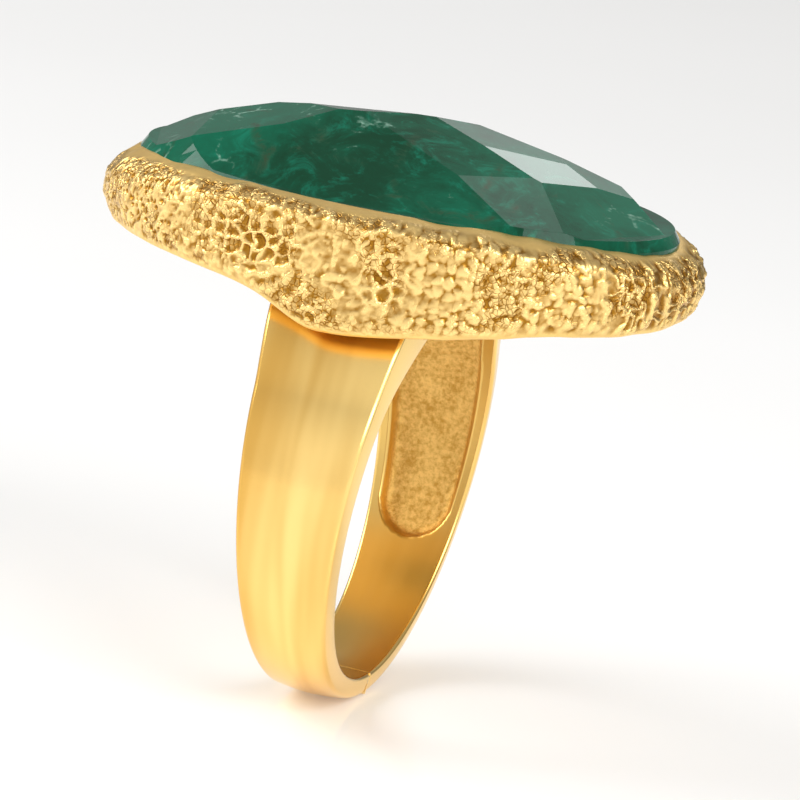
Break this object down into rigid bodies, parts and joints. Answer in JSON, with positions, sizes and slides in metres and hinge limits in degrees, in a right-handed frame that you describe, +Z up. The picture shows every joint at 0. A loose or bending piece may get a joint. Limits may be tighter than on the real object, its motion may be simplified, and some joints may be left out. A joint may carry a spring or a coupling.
{
  "type": "cocktail ring",
  "caption": "Large oval domed green stone, hand-faceted, in a textured gold collar with a burnished rim, on a tapered polished band with hollowed shoulders",
  "frame": {"origin": "centre of the finger hole, on its axis, half way along the wall", "axes": "+X runs along the finger and along the long axis of the oval head, +Z points up through the stone, +Y runs across the hand so that the axes are right-handed"},
  "size_m": [0.0264, 0.0196, 0.0254],
  "materials": {
    "stone": "polished, clouded and veined green beryl, nearly opaque",
    "textured_gold": "cast reticulated texture outside, smooth burnished rim",
    "polished_gold": "polished, with a blasted matte floor in the shoulder pockets",
    "solder_gold": "filed and polished"
  },
  "bodies": {
    "root": {"emerald": "stone", "bezel_collar": "textured_gold", "bearing_ring": "polished_gold", "back_plate": "polished_gold", "shank_front": "polished_gold", "shank_rear": "polished_gold", "shoulder_solder_front": "solder_gold", "shoulder_solder_rear": "solder_gold", "sizing_solder": "solder_gold"}
  },
  "joints": []
}
